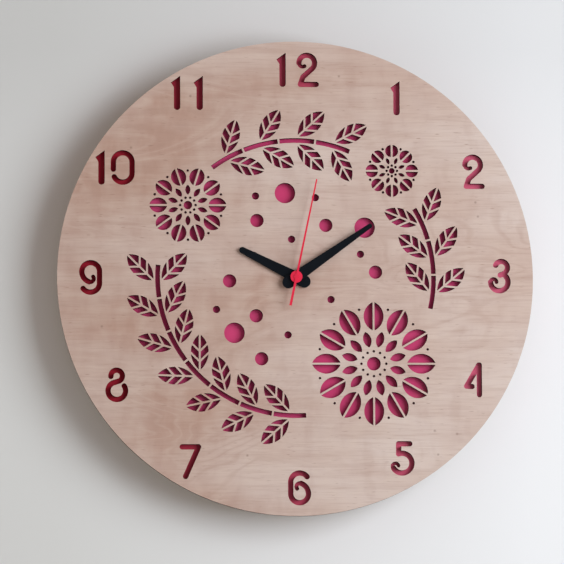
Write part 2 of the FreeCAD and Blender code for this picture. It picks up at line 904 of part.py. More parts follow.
def fifth_wheel():
    wheel_phase = gap_phase(rotor_angle + 180, fifth_wheel_teeth)
    wheel = gear(rotor_module, fifth_wheel_teeth, wheel_phase, fifth_back, fifth_front, fifth_centre)
    pinion_phase = fifth_angle + 180
    pinion = gear(
        fifth_module, fifth_pinion_teeth, pinion_phase, fifth_front, second_front, fifth_centre
    )
    arbor = pivoted_arbor(fifth_centre, fifth_back - level_gap, fifth_back)
    return fused(wheel, pinion, *arbor)


def second_wheel():
    wheel_phase = gap_phase(fifth_angle + 180, second_wheel_teeth)
    wheel = gear(fifth_module, second_wheel_teeth, wheel_phase, second_back, second_front)
    pinion = gear(second_module, second_pinion_teeth, third_angle, second_front, third_front)
    shaft_front = face_front + second_shaft_reach
    shaft = disc(second_shaft_diameter / 2, bridge_front + running_fit, shaft_front)
    pivot = disc(pivot_radius, pivot_back, bridge_front + running_fit)
    return fused(wheel, pinion, shaft, pivot)


def third_wheel():
    wheel_phase = gap_phase(third_angle, third_wheel_teeth)
    wheel = gear(second_module, third_wheel_teeth, wheel_phase, third_back, third_front, third_centre)
    pinion_phase = third_angle + 180
    pinion = gear(
        centre_module, third_pinion_teeth, pinion_phase, third_front, centre_front, third_centre
    )
    arbor = pivoted_arbor(third_centre, third_back - level_gap, third_back)
    return fused(wheel, pinion, *arbor)


def centre_wheel():
    wheel_phase = gap_phase(third_angle + 180, centre_wheel_teeth)
    wheel = gear(centre_module, centre_wheel_teeth, wheel_phase, centre_back, centre_front)
    bore = minute_spigot_radius + running_fit
    return wheel.cut(disc(bore, centre_back - overrun, centre_front + overrun))


minute_spigot_radius = minute_pipe_diameter / 2 - spigot_step
second_bore_radius = second_shaft_diameter / 2 + running_fit


def minute_pipe():
    front = face_front + minute_pipe_reach
    toothed = gear(cannon_module, cannon_teeth, minute_wheel_angle, cannon_back, cannon_front)
    pipe = disc(minute_pipe_diameter / 2, cannon_front, front)
    spigot = disc(minute_spigot_radius, centre_back, cannon_back)
    body = fused(toothed, pipe, spigot)
    return body.cut(disc(second_bore_radius, centre_back - overrun, front + overrun))


def minute_wheel():
    wheel_phase = gap_phase(minute_wheel_angle, minute_wheel_teeth)
    wheel = gear(
        cannon_module, minute_wheel_teeth, wheel_phase, cannon_back, cannon_front, minute_centre
    )
    pinion_phase = minute_wheel_angle + 180
    pinion = gear(
        hour_module, minute_pinion_teeth, pinion_phase, cannon_front, hour_front, minute_centre
    )
    body = fused(wheel, pinion)
    return body.cut(disc(post_radius, cannon_back - overrun, hour_front + overrun, minute_centre))


def hour_wheel():
    wheel_phase = gap_phase(minute_wheel_angle + 180, hour_wheel_teeth)
    wheel = gear(hour_module, hour_wheel_teeth, wheel_phase, hour_back, hour_front)
    front = face_front + hour_pipe_reach
    pipe = disc(hour_pipe_diameter / 2, hour_front, front)
    bore = minute_pipe_diameter / 2 + running_fit
    return fused(wheel, pipe).cut(disc(bore, hour_back - overrun, front + overrun))


def setting_phase():
    """Phase of the setting gear, from the minute wheel's own phase at their mesh."""
    wheel_pitch = 360 / minute_wheel_teeth
    wheel_phase = gap_phase(minute_wheel_angle, minute_wheel_teeth)
    fraction = (setting_angle - wheel_phase) / wheel_pitch
    return setting_angle + 180 + (fraction + 1 / 2) * 360 / setting_teeth


def setting_knob():
    """Fluted knob, shaft and gear in one moulding; it turns the minute wheel by hand."""
    phase = setting_phase()
    toothed = gear(cannon_module, setting_teeth, phase, cannon_back, cannon_front, setting_centre)
    knob_back = knob_front - knob_thickness
    grip = disc(knob_diameter / 2, knob_back, knob_front, setting_centre)
    for number in range(knob_flute_count):
        place = polar(knob_diameter / 2, 360 / knob_flute_count * number, setting_centre)
        grip = grip.cut(disc(knob_flute_radius, knob_back - overrun, knob_front + overrun, place))
    shaft = disc(knob_shaft_radius, knob_front, inner_front - running_fit, setting_centre)
    return fused(grip, shaft, toothed)


# Stepping motor


def motor_plate_holes(plate, back, front):
    for centre in motor_posts():
        plate = plate.cut(disc(motor_pin_radius, back - overrun, front + overrun, centre))
    return plate


def stator():
    front = magnet_level + stator_thickness / 2
    back = front - stator_thickness
    middle, rise = rotor_centre
    bar_bottom = rise + stator_bar_rise - stator_bar_width / 2
    bar_top = bar_bottom + stator_bar_width
    leg = stator_leg_width / 2
    reach = stator_half_span + leg
    pieces = [
        disc(stator_eye_radius, back, front, rotor_centre),
        block(middle - reach, middle + reach, back, front, bar_bottom, bar_top),
    ]
    for side in (-1, 1):
        across = middle + side * stator_half_span
        top = rise + core_rise + core_width / 2
        pieces.append(block(across - leg, across + leg, back, front, bar_bottom, top))
    plate = fused(*pieces)
    eye = disc(magnet_diameter / 2 + stator_eye_gap, back - overrun, front + overrun, rotor_centre)
    return motor_plate_holes(plate.cut(eye), back, front)


def coil_core():
    front = magnet_level - stator_thickness / 2
    back = front - stator_thickness
    middle, rise = rotor_centre[0], rotor_centre[1] + core_rise
    reach = stator_half_span + stator_leg_width / 2
    half = core_width / 2
    bar = block(middle - reach, middle + reach, back, front, rise - half, rise + half)
    return motor_plate_holes(bar, back, front)


coil_half_length = stator_half_span - stator_leg_width / 2 - bobbin_end_gap
coil_level = magnet_level - stator_thickness


def coil_tube(radius, half_length):
    start = spot(rotor_centre[0] - half_length, coil_level, rotor_centre[1] + core_rise)
    return Part.makeCylinder(radius, 2 * half_length, start, FreeCAD.Vector(1, 0, 0))


def coil_bobbin():
    spool = coil_tube(bobbin_tube_radius, coil_half_length)
    between = coil_tube(bobbin_flange_radius + overrun, coil_half_length - bobbin_flange_thickness)
    flanges = coil_tube(bobbin_flange_radius, coil_half_length).cut(between)
    middle, rise = rotor_centre[0], rotor_centre[1] + core_rise
    half_width = core_width / 2 + core_fit
    half_thick = stator_thickness / 2 + core_fit
    reach = coil_half_length + overrun
    tunnel = block(
        middle - reach, middle + reach, coil_level - half_thick, coil_level + half_thick,
        rise - half_width, rise + half_width,
    )
    return fused(spool, flanges).cut(tunnel)


def coil_winding():
    half_length = coil_half_length - bobbin_flange_thickness
    bore = coil_tube(bobbin_tube_radius, half_length + overrun)
    return coil_tube(winding_radius, half_length).cut(bore)


# Electrics


def circuit_board():
    """A board on two posts, notched where the cover's tab passes."""
    bottom = divider_top + contact_thickness
    front = board_back + board_thickness
    plate = block(board_left, board_right(), board_back, front, bottom, board_top)
    notch_left = inner_side - cover_tab_thickness - latch_clearance
    notch_bottom = cover_tab_height - cover_tab_width / 2 - latch_clearance
    notch = block(notch_left, inner_side, board_back, front, notch_bottom, board_top)
    plate = plate.cut(notch)
    for centre in board_posts():
        plate = plate.cut(disc(bridge_pin_radius, board_back - overrun, case_depth, centre))
    return plate


def board_middle():
    return (board_left + board_right()) / 2


def control_chip():
    left = board_middle() - chip_side / 2
    bottom = board_top * chip_height_share
    back = board_back - chip_thickness
    return block(left, left + chip_side, back, board_back, bottom, bottom + chip_side)


def quartz_crystal():
    """A can that lies on the board, with two wire leads bent onto it."""
    upward = FreeCAD.Vector(0, 0, 1)
    radius = crystal_diameter / 2
    wire = crystal_lead_radius
    top = board_top * chip_height_share - crystal_lead_length - radius
    start = spot(board_middle(), board_back - radius, top - crystal_length)
    pieces = [Part.makeCylinder(radius, crystal_length, start, upward)]
    for side in (-1, 1):
        across = board_middle() + side * crystal_lead_half_gap
        lead_start = spot(across, board_back - wire, top)
        pieces.append(Part.makeCylinder(wire, crystal_lead_length, lead_start, upward))
        foot_back = board_back - 2 * wire
        pieces.append(block(across - wire, across + wire, foot_back, board_back, top - wire, top + wire))
    return fused(*pieces)


def battery():
    along = FreeCAD.Vector(1, 0, 0)
    body_length = battery_length - battery_nub_length
    start = spot(battery_left, battery_level, battery_height)
    body = Part.makeCylinder(battery_diameter / 2, body_length, start, along)
    rims = [edge for edge in body.Edges if isinstance(edge.Curve, Part.Circle)]
    body = body.makeFillet(battery_rim, rims)
    nub_start = spot(battery_left + body_length, battery_level, battery_height)
    nub = Part.makeCylinder(battery_nub_diameter / 2, battery_nub_length, nub_start, along)
    return fused(body, nub)


def positive_contact():
    left = inner_side - contact_thickness
    front = contact_back + contact_width
    bottom = -half_case + case_wall + contact_rise
    return block(left, inner_side, contact_back, front, bottom, divider_top + contact_rise)


def negative_contact():
    """End plate with a bowed spring on the battery, and a strip above the bay to the board."""
    left = -inner_side
    near = left + contact_thickness
    front = contact_back + contact_width
    low = -half_case + case_wall
    strip_top = divider_top + contact_thickness
    plate = block(left, near, contact_back, front, low + contact_rise, strip_top)
    strip_front = contact_back + contact_strip_width
    strip = block(near, board_left + contact_strip_width, contact_back, strip_front, divider_top, strip_top)
    foot = block(
        board_left, board_left + contact_strip_width, contact_back, board_back + board_thickness,
        divider_top, strip_top,
    )
    reach = battery_left - near
    bottom, top = battery_height - contact_width / 2, battery_height + contact_width / 2
    bow = outline(
        contact_back,
        (near, bottom),
        ((near + reach, battery_height), (near, top)),
        (near, top - contact_thickness),
        ((near + reach - contact_thickness, battery_height), (near, bottom + contact_thickness)),
        (near, bottom),
    )
    return fused(plate, strip, foot, prism(bow, contact_width))


# Hands


def turned(shape, degrees):
    shape.rotate(FreeCAD.Vector(0, 0, 0), FreeCAD.Vector(0, 1, 0), degrees)
    return shape


def tapered_bar(back, tail_height, tail_radius, tip_height, tip_radius):
    """A bar between two round ends, with straight sides that run off both ends smoothly."""
    slant = math.degrees(math.asin((tail_radius - tip_radius) / (tip_height - tail_height)))
    tail, tip = (0, tail_height), (0, tip_height)
    wire = outline(
        back,
        polar(tail_radius, slant, tail),
        polar(tip_radius, slant, tip),
        (polar(tip_radius, 90, tip), polar(tip_radius, 180 - slant, tip)),
        polar(tail_radius, 180 - slant, tail),
        (polar(tail_radius, -90, tail), polar(tail_radius, slant, tail)),
    )
    return prism(wire, hand_thickness)


def clock_hand(back, length, tip_radius, pipe_radius, collet_back):
    tail_height = hand_tail_radius - hand_tail_reach
    bar = tapered_bar(back, tail_height, hand_tail_radius, length - tip_radius, tip_radius)
    collet = disc(collet_diameter / 2, collet_back, back)
    body = fused(bar, collet)
    return body.cut(disc(pipe_radius, collet_back - overrun, back + hand_thickness + overrun))


hour_hand_back = face_front + hour_hand_lift
minute_hand_back = hour_hand_back + hand_thickness + hour_to_minute_lift
second_hand_back = minute_hand_back + hand_thickness + minute_to_second_lift


def hour_hand():
    pipe_radius = hour_pipe_diameter / 2
    collet_back = face_front + collet_gap
    hand = clock_hand(hour_hand_back, hour_hand_length, hour_tip_radius, pipe_radius, collet_back)
    return turned(hand, hour_hand_angle)


def minute_hand():
    pipe_radius = minute_pipe_diameter / 2
    behind = max(hour_hand_back + hand_thickness, face_front + hour_pipe_reach)
    back, length = minute_hand_back, minute_hand_length
    hand = clock_hand(back, length, minute_tip_radius, pipe_radius, behind + collet_gap)
    return turned(hand, minute_hand_angle)


def second_hand():
    tail_half, tip_half = second_tail_width / 2, second_tip_width / 2
    wire = outline(
        second_hand_back,
        (tail_half, -second_hand_tail),
        (tip_half, second_hand_length),
        (-tip_half, second_hand_length),
        (-tail_half, -second_hand_tail),
        (tail_half, -second_hand_tail),
    )
    bar = prism(wire, hand_thickness)
    hub = disc(second_hub_radius, second_hand_back, second_hand_back + hand_thickness)
    shaft_radius = second_shaft_diameter / 2
    hole = disc(shaft_radius, second_hand_back - overrun, face_front + second_shaft_reach)
    return turned(fused(bar, hub).cut(hole), second_hand_angle)


def second_hand_boss():
    back = max(minute_hand_back + hand_thickness, face_front + minute_pipe_reach) + second_boss_gap
    return ring(second_boss_diameter / 2, second_shaft_diameter / 2, back, second_hand_back)


makers = (
    face_panel, backing_panel, hanger_bracket, rubber_gasket, threaded_bush, stem_washer, stem_nut,
    movement_case, back_cover, train_bridge,
    rotor_pinion, rotor_magnet, fifth_wheel, second_wheel, third_wheel, centre_wheel,
    minute_pipe, minute_wheel, hour_wheel, setting_knob,
    stator, coil_core, coil_bobbin, coil_winding,
    circuit_board, control_chip, quartz_crystal, battery, positive_contact, negative_contact,
    hour_hand, minute_hand, second_hand, second_hand_boss,
)
for maker in makers:
    save(maker(), maker.__name__)
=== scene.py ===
import json
import math

import bpy
from mathutils import Matrix, Vector


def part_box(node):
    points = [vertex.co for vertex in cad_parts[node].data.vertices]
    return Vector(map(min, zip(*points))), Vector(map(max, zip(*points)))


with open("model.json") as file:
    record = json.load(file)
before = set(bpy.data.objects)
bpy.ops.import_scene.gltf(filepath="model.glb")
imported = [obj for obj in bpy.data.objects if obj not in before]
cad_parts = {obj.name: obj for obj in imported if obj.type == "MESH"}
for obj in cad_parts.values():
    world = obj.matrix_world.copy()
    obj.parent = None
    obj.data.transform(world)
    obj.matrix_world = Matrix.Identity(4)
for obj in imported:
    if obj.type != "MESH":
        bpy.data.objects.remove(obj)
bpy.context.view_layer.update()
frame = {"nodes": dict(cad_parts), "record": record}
nodes = frame["nodes"]

# The dial's front and back planes, its radius and its middle, in metres
face_low, face_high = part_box("face_panel")
face_front = face_low.y
face_back = face_high.y
face_radius = (face_high.x - face_low.x) / 2
face_middle = Vector((0, face_front, 0))


def colour(red, green, blue):
    """A colour as it looks on a screen, from 0 to 255, turned into linear light."""
    shares = [value / 255 for value in (red, green, blue)]
    linear = [s / 12.92 if s <= 0.04045 else ((s + 0.055) / 1.055) ** 2.4 for s in shares]
    return (*linear, 1.0)


class Tree:
    """A node tree, with short calls that add nodes and join them."""

    def __init__(self, tree):
        self.tree = tree

    def add(self, kind, inputs=None, **settings):
        node = self.tree.nodes.new(kind)
        for name, value in settings.items():
            setattr(node, name, value)
        for socket, value in (inputs or {}).items():
            self.feed(node.inputs[socket], value)
        return node

    def feed(self, socket, value):
        if isinstance(value, bpy.types.NodeSocket):
            self.tree.links.new(value, socket)
        else:
            socket.default_value = value

    def calc(self, operation, first, second=0.0):
        return self.add("ShaderNodeMath", {0: first, 1: second}, operation=operation).outputs[0]

    def seen(self):
        """1 on rays that show a thing, also by reflection or through glass, 0 on rays that carry light."""
        paths = self.add("ShaderNodeLightPath").outputs
        plain = self.calc("MAXIMUM", paths["Is Camera Ray"], paths["Is Glossy Ray"])
        return self.calc("MAXIMUM", plain, paths["Is Transmission Ray"])

    def blend(self, share, first, second):
        """Two shaders, mixed by the share of the second."""
        return self.add("ShaderNodeMixShader", {0: share, 1: first, 2: second}).outputs[0]


class Finish(Tree):
    """A material in the making. Its patterns lie on the piece, in metres."""

    def __init__(self, name, roughness, metallic=0.0, **shader_values):
        self.material = bpy.data.materials.new(name)
        self.material.use_nodes = True
        super().__init__(self.material.node_tree)
        self.shader = self.tree.nodes["Principled BSDF"]
        self.surface = self.tree.nodes["Material Output"].inputs["Surface"]
        self.shader.inputs["Roughness"].default_value = roughness
        self.shader.inputs["Metallic"].default_value = metallic
        for socket, value in shader_values.items():
            self.shader.inputs[socket.replace("_", " ")].default_value = value
        here = self.add("ShaderNodeTexCoord").outputs
        self.place = here["Object"]
        self.normal = here["Normal"]
        self.x, self.y, self.z = self.axes(self.place)

    def axes(self, vector):
        return self.add("ShaderNodeSeparateXYZ", {0: vector}).outputs[:3]

    def facing(self, way):
        """1 where the surface looks to the rear for a way of 1, or to the front for -1, and 0 elsewhere."""
        return self.remap(self.calc("MULTIPLY", self.axes(self.normal)[1], way), 0.45, 0.55)

    def distance_to(self, x, z):
        """Distance from an axis along Y."""
        flat = self.add("ShaderNodeVectorMath", {0: self.place, 1: (1, 0, 1)}, operation="MULTIPLY")
        inputs = {0: flat.outputs[0], 1: (x, 0, z)}
        return self.add("ShaderNodeVectorMath", inputs, operation="DISTANCE").outputs["Value"]

    def stretched(self, density):
        """The place counted in features per metre, the same number for all axes or one for each."""
        scale = density if isinstance(density, tuple) else (density,) * 3
        return self.add("ShaderNodeMapping", {"Vector": self.place, "Scale": scale}).outputs["Vector"]

    def noise(self, density, detail, distortion=0.0):
        inputs = {"Vector": self.stretched(density), "Scale": 1.0}
        inputs.update({"Detail": detail, "Distortion": distortion})
        return self.add("ShaderNodeTexNoise", inputs).outputs["Fac"]

    def cells(self, density, **settings):
        inputs = {"Vector": self.stretched(density), "Scale": 1.0}
        return self.add("ShaderNodeTexVoronoi", inputs, **settings).outputs["Distance"]

    def waves(self, value, radians):
        """The sine of a value that counts for so many radians per unit."""
        return self.calc("SINE", self.calc("MULTIPLY", value, radians))

    def remap(self, value, low, high, to_low=0.0, to_high=1.0):
        inputs = {"Value": value, "From Min": low, "From Max": high, "To Min": to_low, "To Max": to_high}
        return self.add("ShaderNodeMapRange", inputs).outputs["Result"]

    def mix(self, share, first, second, blend_type="MIX"):
        inputs = {0: share, 6: first, 7: second}
        node = self.add("ShaderNodeMix", inputs, data_type="RGBA", blend_type=blend_type)
        return node.outputs[2]

    def drift(self, pattern, first, second, low=0.35, high=0.65):
        """A tone that goes from the first to the second with the pattern."""
        return self.mix(self.remap(pattern, low, high), first, second)

    def layer(self, base, pattern, start, full, share, tone):
        """The base under a tone, from none where the pattern is at start to a share at full."""
        return self.mix(self.remap(pattern, start, full, 0.0, share), base, tone)

    def bump(self, height, depth, strength):
        inputs = {"Height": height, "Distance": depth, "Strength": strength}
        self.feed(self.shader.inputs["Normal"], self.add("ShaderNodeBump", inputs).outputs["Normal"])

    def paint(self, base, pattern=None, smooth=0.0, rough=1.0):
        """Sets the colour and, where a pattern is given, a roughness that follows it."""
        self.feed(self.shader.inputs["Base Color"], base)
        if pattern is not None:
            self.feed(self.shader.inputs["Roughness"], self.remap(pattern, 0.3, 0.7, smooth, rough))
        return self.material


# Wood and paint of the dial

ply_count = 3
ring_radians = 110.0
fleck_radius = 0.0011
fleck_places = (
    (0.114, 0.048), (0.1155, 0.039), (0.087, -0.0965), (0.101, -0.0985), (0.089, -0.1115),
    (-0.066, 0.115), (-0.1035, 0.082), (-0.031, -0.112), (0.028, 0.128), (-0.122, -0.031),
)

# The painted shade behind the numerals, as shares of the dial's radius
numeral_zone_start_share = 0.68
numeral_zone_full_share = 0.76
lit_side_share = 0.8
shaded_side_share = -0.67


def birch_plywood():
    """Pale veneer with rosy patches and grain, made rosier and darker toward the left by painted shade,
    over plies that the laser burned in the cuts.
    """
    wood = Finish("birch_plywood", 0.62, IOR=1.45, Specular_IOR_Level=0.2)
    beige, rosy = colour(209, 193, 186), colour(181, 149, 135)
    streak, pale = colour(168, 138, 125), colour(212, 194, 182)
    dash_tone, fleck_tone = colour(138, 104, 88), colour(104, 78, 66)
    patches = wood.noise((9, 9, 19), detail=4)
    # Painted shade: the veneer turns rosier and darker toward the left of the dial, on top of its random
    # rosy patches.
    painted_shade_leftward = wood.remap(wood.x, face_radius, -face_radius, -0.25, 0.5)
    rosy_and_painted_shade_share = wood.calc("ADD", wood.remap(patches, 0.36, 0.64, 0.05, 0.75), painted_shade_leftward)
    base = wood.mix(rosy_and_painted_shade_share, beige, rosy)
    mottle = wood.noise((75, 75, 38), detail=3)
    rings = wood.waves(wood.noise((5, 5, 15), detail=2, distortion=0.9), ring_radians)
    ringed_part = wood.remap(wood.noise((12, 12, 14), detail=1), 0.45, 0.62)
    dark_rings = wood.calc("MULTIPLY", ringed_part, wood.remap(rings, 0.4, 1.0))
    bands = wood.noise((10, 10, 220), detail=4)
    fibres = wood.noise((60, 60, 1300), detail=3)
    dashes = wood.noise((150, 150, 1100), detail=1)
    # Pattern, where its tone starts and is full, the full share and the tone, from the lowest layer up
    layers = (
        (mottle, 0.42, 0.68, 0.3, pale),
        (mottle, 0.45, 0.3, 0.22, streak),
        (dark_rings, 0.0, 1.0, 0.24, streak),
        (rings, -0.5, -1.0, 0.14, pale),
        (bands, 0.48, 0.72, 0.22, streak),
        (bands, 0.46, 0.28, 0.2, pale),
        (fibres, 0.5, 0.75, 0.34, streak),
        (dashes, 0.68, 0.78, 0.5, dash_tone),
    )
    for layer in layers:
        base = wood.layer(base, *layer)
    for x, z in fleck_places:
        base = wood.layer(base, wood.distance_to(x, z), fleck_radius, 0.0, 0.55, fleck_tone)
    char = wood.noise((220, 700, 220), detail=2)
    burned = wood.drift(char, colour(24, 6, 5), colour(46, 15, 12), high=0.7)
    plies = wood.waves(wood.remap(wood.y, face_front, face_back), ply_count * math.pi)
    burned = wood.layer(burned, plies, -0.2, 0.2, 0.3, colour(84, 46, 34))
    flat = wood.calc("MAXIMUM", wood.facing(1), wood.facing(-1))
    wood.bump(wood.calc("ADD", fibres, wood.calc("MULTIPLY", dashes, -1.2)), depth=0.00006, strength=0.5)
    return wood.paint(wood.mix(flat, burned, base), fibres, smooth=0.58, rough=0.72)


def pink_backing():
    """Painted board: satin pink in front and round the edge, raw brown fibres behind.

    Behind the numerals painted shade takes the pink from a deep red on the shaded left to a paler pink on
    the lit right.
    """
    paint = Finish("pink_backing", 0.6, Specular_IOR_Level=0.06)
    cloud = paint.noise(18, detail=3)
    pink = paint.drift(cloud, colour(209, 67, 116), colour(216, 77, 127))
    # Painted shade in the ring of the numerals: deep red toward the left, paler pink toward the right, on
    # the front face only.
    painted_shade_leftward = paint.remap(paint.x, lit_side_share * face_radius, shaded_side_share * face_radius)
    numeral_painted_shade = paint.mix(painted_shade_leftward, colour(230, 104, 136), colour(165, 34, 52))
    zone_limits = numeral_zone_start_share * face_radius, numeral_zone_full_share * face_radius
    painted_shade_zone = paint.calc("MULTIPLY", paint.remap(paint.distance_to(0, 0), *zone_limits), paint.facing(-1))
    pink = paint.mix(painted_shade_zone, pink, numeral_painted_shade)
    fibres = paint.noise(900, detail=3)
    raw = paint.drift(fibres, colour(120, 94, 72), colour(146, 119, 94))
    behind = paint.facing(1)
    peel = paint.noise(1300, detail=1)
    paint.bump(paint.mix(behind, peel, fibres), depth=0.00003, strength=0.5)
    return paint.paint(paint.mix(behind, pink, raw), cloud, smooth=0.5, rough=0.64)


def sprayed(name, dark, light, roughness, specular, coat=0.0):
    """Paint on thin metal, with a faint grain and slight changes of sheen."""
    paint = Finish(name, roughness, Specular_IOR_Level=specular, Coat_Weight=coat, Coat_Roughness=0.25)
    cloud = paint.noise(120, detail=3)
    paint.bump(paint.noise(2600, detail=1), depth=0.00002, strength=0.4)
    return paint.paint(paint.drift(cloud, dark, light), cloud, roughness - 0.06, roughness + 0.08)


# Finishes of the movement, with places and sizes of its marks in metres

knob_low, knob_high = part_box("setting_knob")
bay_low, bay_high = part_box("battery")
knob_place = ((knob_low.x + knob_high.x) / 2, (knob_low.z + knob_high.z) / 2)
mark_half = 0.00035
mark_edge = 0.0001
mark_reach = 0.0016
mark_depth = 0.00025
mark_depth_limit = 0.001
mark_inset = 0.004
mark_row = bay_high.z + 0.0042
plus_place = (bay_high.x - mark_inset, mark_row)
minus_place = (bay_low.x + mark_inset, mark_row)
turn_mark_radius = 0.0082
turn_mark_start = 0.002
turning_pitch = 0.0004
wire_pitch = 0.00025
cell_band = 0.016
cell_tip = 0.0019
cell_rim = 0.0007


def moulded(name, dark, light, roughness, grain=2400):
    """Moulded plastic with a fine eroded grain."""
    plastic = Finish(name, roughness)
    cloud = plastic.noise(60, detail=2)
    fine = plastic.noise(grain, detail=2)
    plastic.bump(fine, depth=0.00004, strength=0.6)
    return plastic.paint(plastic.drift(cloud, dark, light), fine, roughness - 0.05, roughness + 0.08)


def case_plastic():
    """Black moulded plastic with a plus, a minus and a turning mark cut into the back."""
    plastic = Finish("black_case", 0.5)
    cloud = plastic.noise(60, detail=2)
    fine = plastic.noise(2400, detail=2)

    def near(value, middle, limit):
        """1 within the limit of the middle, falling to 0 over the mark's edge."""
        gap = plastic.calc("ABSOLUTE", plastic.calc("SUBTRACT", value, middle))
        return plastic.remap(gap, limit, limit + mark_edge, 1.0, 0.0)

    def bar(middle, half_width, half_height):
        """1 inside a bar on the back, 0 outside."""
        across = near(plastic.x, middle[0], half_width)
        return plastic.calc("MULTIPLY", across, near(plastic.z, middle[1], half_height))

    ring = near(plastic.distance_to(*knob_place), turn_mark_radius, mark_half)
    upper_part = plastic.calc("GREATER_THAN", plastic.z, knob_place[1] + turn_mark_start)
    marks = plastic.calc("MULTIPLY", ring, upper_part)
    bars = (
        bar(plus_place, mark_reach, mark_half),
        bar(plus_place, mark_half, mark_reach),
        bar(minus_place, mark_reach, mark_half),
    )
    for stroke in bars:
        marks = plastic.calc("MAXIMUM", marks, stroke)
    on_back = plastic.calc("GREATER_THAN", plastic.y, -mark_depth_limit)
    marks = plastic.calc("MULTIPLY", marks, on_back)
    relief = plastic.calc("SUBTRACT", plastic.calc("MULTIPLY", fine, 0.15), marks)
    plastic.bump(relief, depth=mark_depth, strength=0.7)
    base = plastic.drift(cloud, colour(38, 38, 40), colour(47, 47, 49))
    base = plastic.layer(base, marks, 0.0, 1.0, 0.6, colour(122, 122, 124))
    return plastic.paint(base, fine, smooth=0.45, rough=0.58)


def plated(name, dark, light, roughness):
    """Bright metal with a faint spangle and fine lines from rolling."""
    metal = Finish(name, roughness, metallic=1.0)
    lines = metal.noise((2500, 2500, 60), detail=2)
    metal.bump(lines, depth=0.00002, strength=0.4)
    base = metal.drift(metal.cells(420), dark, light, 0.1, 0.7)
    return metal.paint(base, lines, roughness - 0.08, roughness + 0.1)


def turned_brass():
    """Brass with rings from the lathe and spots of tarnish."""
    metal = Finish("brass_bush", 0.3, metallic=1.0)
    rings = metal.waves(metal.distance_to(0, 0), math.tau / turning_pitch)
    tarnish = metal.noise(260, detail=3)
    metal.bump(rings, depth=0.00002, strength=0.5)
    base = metal.drift(tarnish, colour(222, 184, 106), colour(190, 144, 76), 0.4, 0.7)
    return metal.paint(base, tarnish, smooth=0.24, rough=0.4)


def copper_wire():
    """Lacquered wire, with its turns side by side along X, each painted lighter on its crest and darker
    between turns as painted highlight and shade.
    """
    metal = Finish("copper_wire", 0.35, metallic=1.0, Coat_Weight=0.6)
    turns = metal.waves(metal.x, math.tau / wire_pitch)
    metal.bump(turns, depth=0.00005, strength=0.8)
    # Painted highlight on the crest of each turn and painted shade in the groove between turns.
    return metal.paint(metal.drift(turns, colour(138, 62, 28), colour(206, 112, 60), -1, 1))


def board_green():
    """Green lacquer over copper tracks."""
    board = Finish("board_green", 0.35)
    fields = board.cells(240, feature="DISTANCE_TO_EDGE", distance="CHEBYCHEV")
    tracks = board.remap(fields, 0.06, 0.1)
    board.bump(tracks, depth=0.00004, strength=0.5)
    return board.paint(board.mix(tracks, colour(12, 62, 40), colour(30, 110, 68)))


def battery_jacket():
    """A blue jacket with a pale band, and steel at both ends of the cell."""
    low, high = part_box("battery")
    cell = Finish("battery_jacket", 0.32, metallic=0.65)
    scuff = cell.noise((180, 900, 900), detail=2)
    jacket = cell.drift(scuff, colour(56, 74, 104), colour(66, 86, 118), 0.4, 0.7)
    band = cell.calc("GREATER_THAN", cell.x, high.x - cell_band)
    jacket = cell.mix(band, jacket, colour(206, 204, 196))
    tip = cell.calc("GREATER_THAN", cell.x, high.x - cell_tip)
    rim = cell.calc("LESS_THAN", cell.x, low.x + cell_rim)
    cell.bump(scuff, depth=0.00003, strength=0.3)
    base = cell.mix(cell.calc("MAXIMUM", tip, rim), jacket, colour(196, 198, 200))
    return cell.paint(base, scuff, smooth=0.26, rough=0.4)


finishes = {
    "birch_plywood": birch_plywood(),
    "pink_backing": pink_backing(),
    "black_hand": sprayed("black_hand", colour(7, 11, 17), colour(11, 16, 23), 0.55, 0.06),
    "red_hand": sprayed("red_hand", colour(214, 26, 62), colour(224, 34, 70), 0.4, 0.2, coat=0.1),
    "zinc_steel": plated("zinc_steel", colour(168, 170, 172), colour(190, 192, 194), 0.34),
    "black_rubber": moulded("black_rubber", colour(24, 24, 25), colour(32, 32, 33), 0.85, 1500),
    "brass_bush": turned_brass(),
    "black_case": case_plastic(),
    "natural_plastic": moulded("natural_plastic", colour(222, 216, 200), colour(230, 225, 212), 0.38),
    "grey_knob": moulded("grey_knob", colour(88, 88, 92), colour(98, 98, 102), 0.45),
    "magnet": plated("magnet", colour(58, 58, 64), colour(76, 76, 82), 0.5),
    "copper_wire": copper_wire(),
    "board_green": board_green(),
    "chip_black": moulded("chip_black", colour(20, 20, 21), colour(28, 28, 29), 0.6, 3600),
    "battery_jacket": battery_jacket(),
}
for part in frame["record"]["subparts"]:
    piece = nodes[part["node"]]
    if not piece.material_slots:
        piece.data.materials.append(None)
    for slot in piece.material_slots:
        slot.material = finishes[part["material_slot"]]


# Wall and floor, in metres

wall_gap = 0.0003
room_half_width = 3.0
room_height = 3.0
room_depth = 4.0
floor_level = -1.5
floor_shown_share = 0.6
floor_tint = colour(226, 226, 224)
wall_tint = colour(237, 240, 244)


def sheet_of(name, corners, material):
    mesh = bpy.data.meshes.new(name)
    mesh.from_pydata(corners, [], [(0, 1, 2, 3)])
    mesh.materials.append(material)
    sheet = bpy.data.objects.new(name, mesh)
    bpy.context.scene.collection.objects.link(sheet)


